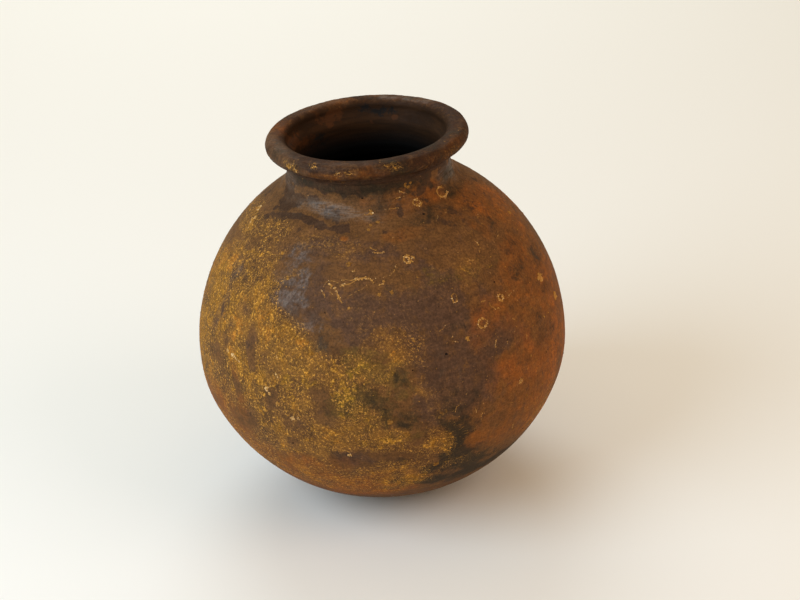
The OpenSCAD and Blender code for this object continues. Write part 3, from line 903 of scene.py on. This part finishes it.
thread_rng = np.random.default_rng(22)
az, z = deposit_places(2600, 65, 0.5, 9)
root_az = 14 + 5.5 * thread_rng.standard_normal(130)
root_z = 77 + 6.5 * thread_rng.standard_normal(130)
short = track_solids(thread_tracks(az, z, thread_rng, 6), wall_surface, WALL_PER_MM, 66, 8, 4)
rooty = track_solids(thread_tracks(root_az, root_z, thread_rng, 9), wall_surface, WALL_PER_MM, 67, 8, 4)
ochre_threads = crust_piece("ochre_threads", [(short, 0.1, 0.7), (rooty, 0.3, 0.7)], 5)
CRUST = [mud_tracks, mud_tracks_behind, mud_rings, mud_flakes, ochre_crumbs, ochre_threads, soot_specks]
for piece in CRUST:
    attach(piece, "root")

# %% [markdown]
# ## Shader helpers
# Every material below is a small network of nodes. These helpers add a node, fill its sockets with
# values or links, and do the sums, so that a finish reads as a list of steps.

# %% Shader helpers
def pigment(red, green, blue):
    """Shader colour from screen values 0..255: ((c + 0.055) / 1.055) to the power 2.4."""
    c = np.array([red, green, blue]) / 255
    return (*np.where(c > 0.04045, ((c + 0.055) / 1.055) ** 2.4, c / 12.92).tolist(), 1.0)


def add(tree, kind, sockets=None, **settings):
    """Adds a node, sets its settings, and fills each named socket with a value or a link."""
    made = tree.nodes.new(kind)
    for key, value in settings.items():
        setattr(made, key, value)
    for key, value in (sockets or {}).items():
        if isinstance(value, bpy.types.NodeSocket):
            tree.links.new(value, made.inputs[key])
        else:
            made.inputs[key].default_value = value
    return made


def new_group(name, inputs, outputs):
    """An empty shader group. inputs is {name: (socket type, default)}, outputs is {name: socket type}."""
    tree = bpy.data.node_groups.new(name, "ShaderNodeTree")
    for key, (kind, default) in inputs.items():
        tree.interface.new_socket(key, in_out="INPUT", socket_type=kind).default_value = default
    for key, kind in outputs.items():
        tree.interface.new_socket(key, in_out="OUTPUT", socket_type=kind)
    return tree, tree.nodes.new("NodeGroupInput").outputs, tree.nodes.new("NodeGroupOutput")


def use(tree, group, sockets=None):
    """Places a node group in a material or in another group, with its named inputs filled."""
    made = add(tree, "ShaderNodeGroup", node_tree=group)
    for key, value in (sockets or {}).items():
        if isinstance(value, bpy.types.NodeSocket):
            tree.links.new(value, made.inputs[key])
        else:
            made.inputs[key].default_value = value
    return made


def blend(tree, fac, a, b, mode="MIX"):
    """Colour a turning into b as fac goes from 0 to 1."""
    return add(tree, "ShaderNodeMix", {0: fac, 6: a, 7: b}, data_type="RGBA", blend_type=mode).outputs[2]


def calc(tree, operation, *values):
    """One step of arithmetic on numbers."""
    return add(tree, "ShaderNodeMath", dict(enumerate(values)), operation=operation).outputs[0]


def span(tree, value, low, high, to_low=0.0, to_high=1.0):
    """value carried from low..high to to_low..to_high with a smooth step."""
    keys = ("Value", "From Min", "From Max", "To Min", "To Max")
    return add(tree, "ShaderNodeMapRange", dict(zip(keys, (value, low, high, to_low, to_high))),
               interpolation_type="SMOOTHSTEP").outputs[0]


def grain(tree, vector, size, detail=3.0, roughness=0.6, distortion=0.0):
    """Noise texture whose features are about size mm across, as a value from 0 to 1."""
    keys = {"Vector": vector, "Scale": 1 / (size * MM), "Detail": detail, "Roughness": roughness,
            "Distortion": distortion}
    return add(tree, "ShaderNodeTexNoise", keys).outputs[0]


def field(tree, name):
    """The vertex field of that name."""
    return add(tree, "ShaderNodeAttribute", attribute_name=name).outputs["Fac"]


def ragged(tree, strength, noise_value, amount, low, high):
    """A finish's cover: its field plus amount times the noise about its middle, then a smooth step.

    A second step on the field alone keeps the noise from raising the finish where there is none.
    """
    raised = calc(tree, "MULTIPLY_ADD", noise_value, amount, strength)
    return calc(tree, "MULTIPLY", span(tree, raised, low + amount / 2, high + amount / 2),
                span(tree, strength, 0.0, 0.2))


def shade(tree, color, value):
    """Colour times a value, the same on red, green and blue."""
    grey = add(tree, "ShaderNodeCombineColor", {0: value, 1: value, 2: value}).outputs[0]
    return blend(tree, 1.0, color, grey, "MULTIPLY")


# %% [markdown]
# ## Small effects used by every clay
# Specks are scattered cells: a cell texture gives each point its distance to the nearest seed, and
# a random colour for each cell lets only some seeds show. Turning lines are noise that is stretched
# flat, because the wheel dragged every streak sideways.

# %% Speck and turning-line groups
def specks_group():
    """Mask of scattered dots: 1 within Radius of a seed, for the given share of the cells."""
    inputs = {"Size": ("NodeSocketFloat", 5.0), "Radius": ("NodeSocketFloat", 0.12),
              "Share": ("NodeSocketFloat", 0.4)}
    tree, given, out = new_group("specks", inputs, {"Mask": "NodeSocketFloat"})
    at = add(tree, "ShaderNodeTexCoord").outputs["Object"]
    warp = add(tree, "ShaderNodeTexNoise", {"Vector": at, "Scale": 900.0, "Detail": 2.0})
    drift = add(tree, "ShaderNodeVectorMath", {0: warp.outputs["Color"], 1: (0.0014, 0.0014, 0.0014), 2: at},
                operation="MULTIPLY_ADD").outputs[0]
    scale = calc(tree, "DIVIDE", 1000.0, given["Size"])
    cells = add(tree, "ShaderNodeTexVoronoi", {"Vector": drift, "Scale": scale})
    pick = add(tree, "ShaderNodeSeparateColor", {0: cells.outputs["Color"]})
    chosen = calc(tree, "LESS_THAN", pick.outputs[0], given["Share"])
    reach = calc(tree, "MULTIPLY", given["Radius"], calc(tree, "MULTIPLY_ADD", pick.outputs[1], 0.9, 0.5))
    edge = calc(tree, "SUBTRACT", reach, cells.outputs["Distance"])
    tree.links.new(calc(tree, "MULTIPLY", chosen, span(tree, edge, 0.0, 0.03)), out.inputs["Mask"])
    return tree


def turning_group():
    """Streaks that run round the pot: noise sampled on coordinates squeezed to a quarter across."""
    tree, given, out = new_group("turning_lines", {"Size": ("NodeSocketFloat", 2.5)},
                                 {"Value": "NodeSocketFloat"})
    at = add(tree, "ShaderNodeTexCoord").outputs["Object"]
    flat = add(tree, "ShaderNodeVectorMath", {0: at, 1: (0.16, 0.16, 1.0)}, operation="MULTIPLY").outputs[0]
    scale = calc(tree, "DIVIDE", 1000.0, given["Size"])
    streak = add(tree, "ShaderNodeTexNoise",
                 {"Vector": flat, "Scale": scale, "Detail": 4.0, "Roughness": 0.6})
    tree.links.new(streak.outputs[0], out.inputs["Value"])
    return tree


specks, turning_lines = specks_group(), turning_group()

# %% [markdown]
# ## The smoked paint
# The wall's colour is built like the real one, from the inside out: brown slip, plum where it
# burnt thin, rust where the fire was hot, soot, a grey bloom, then the dry ochre film with its
# crumbs. Painted light rides on some of these: the slip and soot also paint the shade under the
# lip, the bloom paints soft highlights on the left shoulder, and a grey sheen paints the highlight
# on the neck and lip. Each cover comes from a vertex field with noise added before the step. The
# noise is much stronger than the step is wide, so the edge breaks into islands instead of fading evenly.

# %% Pigments
BROWN = pigment(100, 67, 37)
PLUM_BROWN = pigment(84, 59, 43)
OLIVE_BROWN = pigment(98, 74, 33)
DUST_BROWN = pigment(124, 84, 42)
RUST_DARK = pigment(122, 69, 23)
RUST_ORANGE = pigment(154, 84, 24)
# Soot, also used for the painted shade under the lip.
SOOT_AND_SHADE_BLACK = pigment(47, 39, 27)
SLATE = pigment(72, 61, 51)
# Bloom grey, also used for painted soft highlights.
BLOOM_AND_HIGHLIGHT_GREY = pigment(106, 98, 94)
# Grey of the painted highlight on the neck and lip.
PAINTED_HIGHLIGHT_GREY = pigment(118, 104, 92)
# Slip, also used for the painted shade under the lip.
SLIP_AND_SHADE_BROWN = pigment(64, 44, 31)
# Wear, also used for a painted highlight at the front of the lip.
WORN_AND_HIGHLIGHT_BROWN = pigment(98, 68, 44)
OCHRE_DARK = pigment(104, 70, 30)
OCHRE_MID = pigment(164, 112, 39)
OCHRE_ORANGE = pigment(172, 102, 36)
OCHRE_OLIVE = pigment(138, 108, 32)
OCHRE_LIGHT = pigment(218, 158, 66)
PIT_BROWN = pigment(58, 42, 28)
SPECK_TAN = pigment(166, 120, 66)
LINING_BROWN = pigment(46, 26, 9)
LINING_RUST = pigment(66, 36, 14)
LINING_SOOT = pigment(24, 19, 17)
# Painted shade: black for the inside down the throat, where little light reaches.
LINING_PAINTED_SHADE_BLACK = pigment(4, 3, 2)


def paint_group():
    """Colour, roughness and height of the smoked wall, from the finish fields and several sizes of noise."""
    tree, given, out = new_group("smoked_paint",
                                 {"Base": ("NodeSocketColor", BROWN), "Ochre": ("NodeSocketFloat", 1.0)},
                                 {"Color": "NodeSocketColor", "Roughness": "NodeSocketFloat",
                                  "Height": "NodeSocketFloat", "Gloss": "NodeSocketFloat"})
    at = add(tree, "ShaderNodeTexCoord").outputs["Object"]
    broad = grain(tree, at, 24, 6, 0.64)
    gaps = grain(tree, at, 7, 6, 0.66, 0.5)
    islands = grain(tree, at, 9, 9, 0.76, 0.3)
    middle = grain(tree, at, 3.4, 7, 0.74)
    fine = grain(tree, at, 1.2, 4, 0.8)
    hair = grain(tree, at, 4.4, 3, 0.6, 2.0)
    dusty = grain(tree, at, 5.0, 9, 0.8, 0.6)
    streak = use(tree, turning_lines).outputs[0]
    scratch = use(tree, turning_lines, {"Size": 0.9}).outputs[0]
    upright = add(tree, "ShaderNodeVectorMath", {0: at, 1: (1.0, 1.0, 0.15)}, operation="MULTIPLY")
    drag = grain(tree, upright.outputs[0], 2.0, 4, 0.6)
    # Painted highlight and gloss: the sheen field greys the colour below and drives the coat.
    gloss_and_painted_highlight = calc(tree, "MULTIPLY", field(tree, "gloss_and_painted_highlight"), span(tree, scratch, 0.4, 0.58, 0.25, 1.0))
    tint = span(tree, grain(tree, at, 40, 3, 0.5), 0.4, 0.6)
    plum = ragged(tree, field(tree, "plum"), islands, 3.0, 0.2, 0.9)
    olive = ragged(tree, field(tree, "olive"), islands, 3.5, 0.25, 0.95)
    rust = ragged(tree, calc(tree, "MULTIPLY", field(tree, "rust"), 0.85), broad, 2.4, -0.25, 1.15)
    soot_and_painted_shade = ragged(tree, field(tree, "soot_and_painted_shade"), islands, 3.5, 0.0, 1.0)
    bloom_and_painted_highlight = calc(tree, "MULTIPLY", ragged(tree, field(tree, "bloom_and_painted_highlight"), islands, 4.0, 0.3, 1.4),
                 span(tree, drag, 0.36, 0.56, 0.3, 1.0))
    slip_and_painted_shade = ragged(tree, field(tree, "slip_and_painted_shade"), middle, 0.8, 0.4, 0.6)
    worn = ragged(tree, field(tree, "worn"), islands, 2.0, 0.0, 1.1)
    ochre = calc(tree, "MULTIPLY", field(tree, "ochre"), given["Ochre"])

    color = shade(tree, given["Base"], span(tree, broad, 0.35, 0.65, 0.9, 1.1))
    color = blend(tree, plum, color, PLUM_BROWN)
    color = blend(tree, calc(tree, "MULTIPLY", olive, 0.7), color, OLIVE_BROWN)
    rust_tone = blend(tree, span(tree, islands, 0.4, 0.6), RUST_DARK, RUST_ORANGE)
    rust_tone = blend(tree, calc(tree, "MULTIPLY", tint, 0.35), rust_tone, OCHRE_DARK)
    color = blend(tree, calc(tree, "MULTIPLY", rust, 0.85), color, rust_tone)
    stain = calc(tree, "MULTIPLY", span(tree, gaps, 0.47, 0.36), 0.4)
    color = blend(tree, stain, color, PLUM_BROWN)
    dust = calc(tree, "MULTIPLY", span(tree, dusty, 0.5, 0.68), 0.5)
    color = blend(tree, dust, color, DUST_BROWN)
    # Wear, and a painted highlight at the front of the lip.
    color = blend(tree, calc(tree, "MULTIPLY", worn, 0.8), color, WORN_AND_HIGHLIGHT_BROWN)
    # Slip drips, and painted shade under the lip.
    color = blend(tree, calc(tree, "MULTIPLY", slip_and_painted_shade, 0.85), color, SLIP_AND_SHADE_BROWN)
    # Soot, and painted shade along the top of the neck.
    color = blend(tree, calc(tree, "MULTIPLY", soot_and_painted_shade, 0.9), color, SOOT_AND_SHADE_BLACK)
    # Bloom: real grey bloom, partly a painted soft highlight.
    bloom_and_highlight_tone = blend(tree, span(tree, field(tree, "bloom_and_painted_highlight"), 0.45, 0.95), SLATE, BLOOM_AND_HIGHLIGHT_GREY)
    color = blend(tree, calc(tree, "MULTIPLY", bloom_and_painted_highlight, 0.6), color, bloom_and_highlight_tone)
    # Painted highlight: grey mixed in where the sheen field lies.
    color = blend(tree, calc(tree, "MULTIPLY", gloss_and_painted_highlight, 0.38), color, PAINTED_HIGHLIGHT_GREY)
    color = shade(tree, color, span(tree, drag, 0.35, 0.65, 0.92, 1.08))
    color = shade(tree, color, span(tree, streak, 0.35, 0.65, 0.9, 1.1))
    color = shade(tree, color, span(tree, middle, 0.35, 0.65, 0.86, 1.14))

    film = calc(tree, "MULTIPLY", ragged(tree, ochre, broad, 3.0, 0.1, 0.9), 0.4)
    color = blend(tree, film, color, OCHRE_MID)
    open_clay = calc(tree, "MULTIPLY", span(tree, gaps, 0.5, 0.42), span(tree, ochre, 0.15, 0.6, 0.0, 0.4))
    color = blend(tree, open_clay, color, PIT_BROWN)
    cover = ragged(tree, calc(tree, "MULTIPLY", ochre, 0.9), islands, 4.5, 0.4, 0.66)
    cover = calc(tree, "MULTIPLY", cover, span(tree, middle, 0.4, 0.52, 0.4, 1.0))
    cover = calc(tree, "MULTIPLY", cover, span(tree, broad, 0.36, 0.5, 0.45, 1.0))
    cover = calc(tree, "MULTIPLY", cover, span(tree, gaps, 0.43, 0.51, 0.12, 1.0))
    crumb = blend(tree, span(tree, middle, 0.36, 0.66), OCHRE_DARK, OCHRE_MID)
    crumb = blend(tree, span(tree, broad, 0.5, 0.64, 0.0, 0.7), crumb, OCHRE_ORANGE)
    crumb = blend(tree, calc(tree, "MULTIPLY", field(tree, "olive"), 0.8), crumb, OCHRE_OLIVE)
    crumb = shade(tree, crumb, span(tree, islands, 0.42, 0.62, 0.78, 1.14))
    crumb = blend(tree, span(tree, fine, 0.5, 0.66, 0.0, 0.9), crumb, OCHRE_LIGHT)
    color = blend(tree, calc(tree, "MULTIPLY", cover, 0.9), color, crumb)
    loose = calc(tree, "MULTIPLY", span(tree, fine, 0.57, 0.65), span(tree, ochre, 0.0, 0.3, 0.0, 0.85))
    color = blend(tree, loose, color, OCHRE_LIGHT)
    line = calc(tree, "ABSOLUTE", calc(tree, "SUBTRACT", hair, 0.5))
    threads = calc(tree, "MULTIPLY", span(tree, line, 0.014, 0.004), span(tree, ochre, 0.0, 0.35, 0.0, 0.6))
    color = blend(tree, threads, color, OCHRE_LIGHT)
    pits = calc(tree, "MULTIPLY", span(tree, fine, 0.42, 0.34), span(tree, ochre, 0.0, 0.7, 0.2, 0.4))
    color = blend(tree, pits, color, PIT_BROWN)
    small_specks = use(tree, specks, {"Size": 3.4, "Radius": 0.11, "Share": 0.35}).outputs[0]
    large_specks = use(tree, specks, {"Size": 13.0, "Radius": 0.05, "Share": 0.4}).outputs[0]
    dots = calc(tree, "MAXIMUM", small_specks, large_specks)
    color = blend(tree, calc(tree, "MULTIPLY", dots, 0.6), color, SPECK_TAN)
    color = shade(tree, color, span(tree, fine, 0.3, 0.7, 0.68, 1.32))

    rough = span(tree, middle, 0.35, 0.65, 0.68, 0.78)
    rough = calc(tree, "MULTIPLY_ADD", gloss_and_painted_highlight, -0.2, rough)
    rough = calc(tree, "MULTIPLY_ADD", cover, 0.2, rough)
    height = calc(tree, "MULTIPLY", fine, span(tree, ochre, 0, 1, 0.25, 0.9))
    height = calc(tree, "MULTIPLY_ADD", cover, 0.5, height)
    height = calc(tree, "MULTIPLY_ADD", threads, 0.5, calc(tree, "MULTIPLY_ADD", streak, 0.25, height))
    height = calc(tree, "MULTIPLY_ADD", dots, 0.5, calc(tree, "MULTIPLY_ADD", pits, -0.5, height))
    for key, value in (("Color", color), ("Roughness", rough), ("Height", height),
                       ("Gloss", calc(tree, "MULTIPLY", gloss_and_painted_highlight, 0.16))):
        tree.links.new(value, out.inputs[key])
    return tree


def lining_group():
    """Colour of the inside: brown at the mouth with rust stains and soot, and painted black shade further
    down the throat.
    """
    tree, _, out = new_group("smoked_lining", {}, {"Color": "NodeSocketColor"})
    at = add(tree, "ShaderNodeTexCoord").outputs["Object"]
    streak = use(tree, turning_lines, {"Size": 3.0}).outputs[0]
    islands = grain(tree, at, 6, 6, 0.7)
    rust = ragged(tree, field(tree, "rust"), islands, 3.5, 0.3, 0.7)
    soot_and_painted_shade = ragged(tree, field(tree, "soot_and_painted_shade"), islands, 3.5, 0.3, 0.8)
    color = blend(tree, rust, LINING_BROWN, LINING_RUST)
    color = blend(tree, soot_and_painted_shade, color, LINING_SOOT)
    color = shade(tree, color, span(tree, streak, 0.35, 0.65, 0.75, 1.25))
    height = add(tree, "ShaderNodeSeparateXYZ", {0: at}).outputs[2]
    # Painted shade: the colour turns black down the throat, where little light reaches.
    deep = span(tree, height, 0.210, 0.193)
    tree.links.new(blend(tree, deep, color, LINING_PAINTED_SHADE_BLACK), out.inputs["Color"])
    return tree


smoked_paint, smoked_lining = paint_group(), lining_group()


# %% Clay materials
def clay(name, base_color, ochre, bump_depth):
    """A fired clay material: the shared paint outside, the shared dark lining inside."""
    material = bpy.data.materials.new(name)
    material.use_nodes = True
    tree = material.node_tree
    tree.nodes.clear()
    paint = use(tree, smoked_paint, {"Base": base_color, "Ochre": ochre})
    lining = use(tree, smoked_lining)
    color = blend(tree, field(tree, "inside"), paint.outputs["Color"], lining.outputs["Color"])
    bump = add(tree, "ShaderNodeBump", {"Height": paint.outputs["Height"], "Distance": bump_depth * MM,
                                        "Strength": 0.8})
    shader = add(tree, "ShaderNodeBsdfPrincipled",
                 {"Base Color": color, "Roughness": paint.outputs["Roughness"], "Normal": bump.outputs[0],
                  "Coat Weight": paint.outputs["Gloss"], "Coat Roughness": 0.35, "Specular IOR Level": 0.12})
    add(tree, "ShaderNodeOutputMaterial", {"Surface": shader.outputs[0]})
    return material


body_clay = clay("smoked_body_clay", BROWN, 1.0, 0.3)
neck_clay = clay("turned_neck_clay", BROWN, 1.0, 0.12)
lip_clay = clay("worn_lip_clay", pigment(54, 31, 15), 0.6, 0.7)
for piece, material in [(base, body_clay), (lower_wall, body_clay), (upper_wall, body_clay),
                        (neck_collar, neck_clay), (lip_fold, lip_clay), (rolled_lip, lip_clay)]:
    piece.data.materials.append(material)


# %% Dry mud
def mud(name, dark, light, brightest):
    """Dry mud: each solid's own tone picks from three pigments, with grain and a dusty rough surface."""
    material = bpy.data.materials.new(name)
    material.use_nodes = True
    tree = material.node_tree
    tree.nodes.clear()
    at = add(tree, "ShaderNodeTexCoord").outputs["Object"]
    fine = grain(tree, at, 0.7, 3, 0.7)
    tone = calc(tree, "MULTIPLY_ADD", fine, 0.4, calc(tree, "SUBTRACT", field(tree, "tone"), 0.2))
    color = blend(tree, span(tree, tone, 0.0, 0.8), dark, light)
    color = blend(tree, span(tree, tone, 0.75, 1.0), color, brightest)
    bump = add(tree, "ShaderNodeBump", {"Height": fine, "Distance": 0.2 * MM, "Strength": 0.7})
    shader = add(tree, "ShaderNodeBsdfPrincipled",
                 {"Base Color": color, "Roughness": 0.9, "Normal": bump.outputs[0],
                  "Specular IOR Level": 0.1})
    add(tree, "ShaderNodeOutputMaterial", {"Surface": shader.outputs[0]})
    return material


track_mud = mud("dry_track_mud", pigment(122, 82, 34), pigment(184, 134, 68), pigment(228, 194, 142))
ochre_mud = mud("dry_ochre_crumbs", pigment(112, 76, 30), pigment(180, 130, 58), pigment(206, 160, 96))
soot_mud = mud("soot_specks", pigment(26, 20, 15), pigment(60, 42, 26), pigment(70, 50, 32))
for piece in CRUST[:4]:
    piece.data.materials.append(track_mud)
for piece in CRUST[4:6]:
    piece.data.materials.append(ochre_mud)
soot_specks.data.materials.append(soot_mud)

# %% [markdown]
# ## Floor, light and camera
# The jar stands on a plain pale floor. A large cool light stands on the left and a weaker, warmer one
# on the right. A third light brightens the floor far behind the jar. The world around is warm, and
# lifts the dark sides of the clay a little, the way the walls of a room would.

# %% Floor
def pale_floor(size):
    """A wide plain floor under the jar."""
    half = size / 2
    mesh = bpy.data.meshes.new("floor")
    corners = [(-half, -half, 0), (half, -half, 0), (half, half, 0), (-half, half, 0)]
    mesh.from_pydata(corners, [], [(0, 1, 2, 3)])
    floor = bpy.data.objects.new("floor", mesh)
    bpy.context.scene.collection.objects.link(floor)
    material = bpy.data.materials.new("pale_floor")
    material.use_nodes = True
    shader = material.node_tree.nodes["Principled BSDF"]
    shader.inputs["Base Color"].default_value = pigment(240, 238, 235)
    shader.inputs["Roughness"].default_value = 0.6
    mesh.materials.append(material)


pale_floor(6.0)


# %% Lights
JAR_MIDDLE = Vector((0, 0, 0.1))


def beside(azimuth_deg, elevation, distance):
    """A place on a sphere round the jar's middle."""
    a, e = np.radians(azimuth_deg), np.radians(elevation)
    return JAR_MIDDLE + distance * Vector((np.cos(e) * np.sin(a), -np.cos(e) * np.cos(a), np.sin(e)))


def soft_light(name, place, aim, size, power, color):
    """A round area light at a place, turned to face its aim."""
    data = bpy.data.lights.new(name, "AREA")
    data.shape = "DISK"
    data.size = size
    data.energy = power
    data.color = color
    light = bpy.data.objects.new(name, data)
    bpy.context.scene.collection.objects.link(light)
    light.location = place
    light.rotation_euler = (place - aim).to_track_quat("Z", "Y").to_euler()


soft_light("left_box", beside(-62, 33, 1.3), JAR_MIDDLE, 1.1, 14.8, (0.62, 0.82, 1.0))
soft_light("right_box", beside(60, 33, 1.3), JAR_MIDDLE, 0.9, 4.8, (1.0, 0.84, 0.76))
soft_light("back_box", Vector((-0.2, 1.6, 1.5)), Vector((-0.2, 1.6, 0)), 1.5, 20.4, (0.78, 0.92, 1.0))

world = bpy.data.worlds.new("studio")
world.use_nodes = True
world.node_tree.nodes["Background"].inputs[0].default_value = (1.0, 0.77, 0.46, 1)
world.node_tree.nodes["Background"].inputs[1].default_value = 0.516
bpy.context.scene.world = world
bpy.context.scene.view_settings.view_transform = "Standard"

# %% [markdown]
# ## Camera
# The jar in the photograph leans a little to its left, because its bottom is round. Here it stands
# upright, and the camera rolls by the same angle instead.

# %% Camera
FRAME_W, FRAME_H = 800, 600
LENS, SENSOR = 81.0, 36.0
CAMERA_ELEVATION = np.radians(26.94)
CAMERA_ROLL = np.radians(-4.70)
CAMERA_DISTANCE = 1.053
TARGET_Z = 0.0994
TARGET_X_PX, TARGET_Y_PX = 381.4, 320.3


def photo_camera():
    """A camera on a sphere round the target: its three axes are right, up and back, turned by the roll."""
    e, roll = CAMERA_ELEVATION, CAMERA_ROLL
    back = Vector((0, -np.cos(e), np.sin(e)))
    right = Vector((1, 0, 0))
    up = Vector((0, np.sin(e), np.cos(e)))
    turned_right = right * np.cos(roll) + up * np.sin(roll)
    turned_up = up * np.cos(roll) - right * np.sin(roll)
    data = bpy.data.cameras.new("camera")
    data.lens = LENS
    data.sensor_width = SENSOR
    data.shift_x = (FRAME_W / 2 - TARGET_X_PX) / FRAME_W
    data.shift_y = (TARGET_Y_PX - FRAME_H / 2) / FRAME_W
    camera = bpy.data.objects.new("camera", data)
    bpy.context.scene.collection.objects.link(camera)
    place = Vector((0, 0, TARGET_Z)) + back * CAMERA_DISTANCE
    axes = Matrix((turned_right, turned_up, back)).transposed()
    camera.matrix_world = Matrix.Translation(place) @ axes.to_4x4()
    bpy.context.scene.camera = camera


photo_camera()
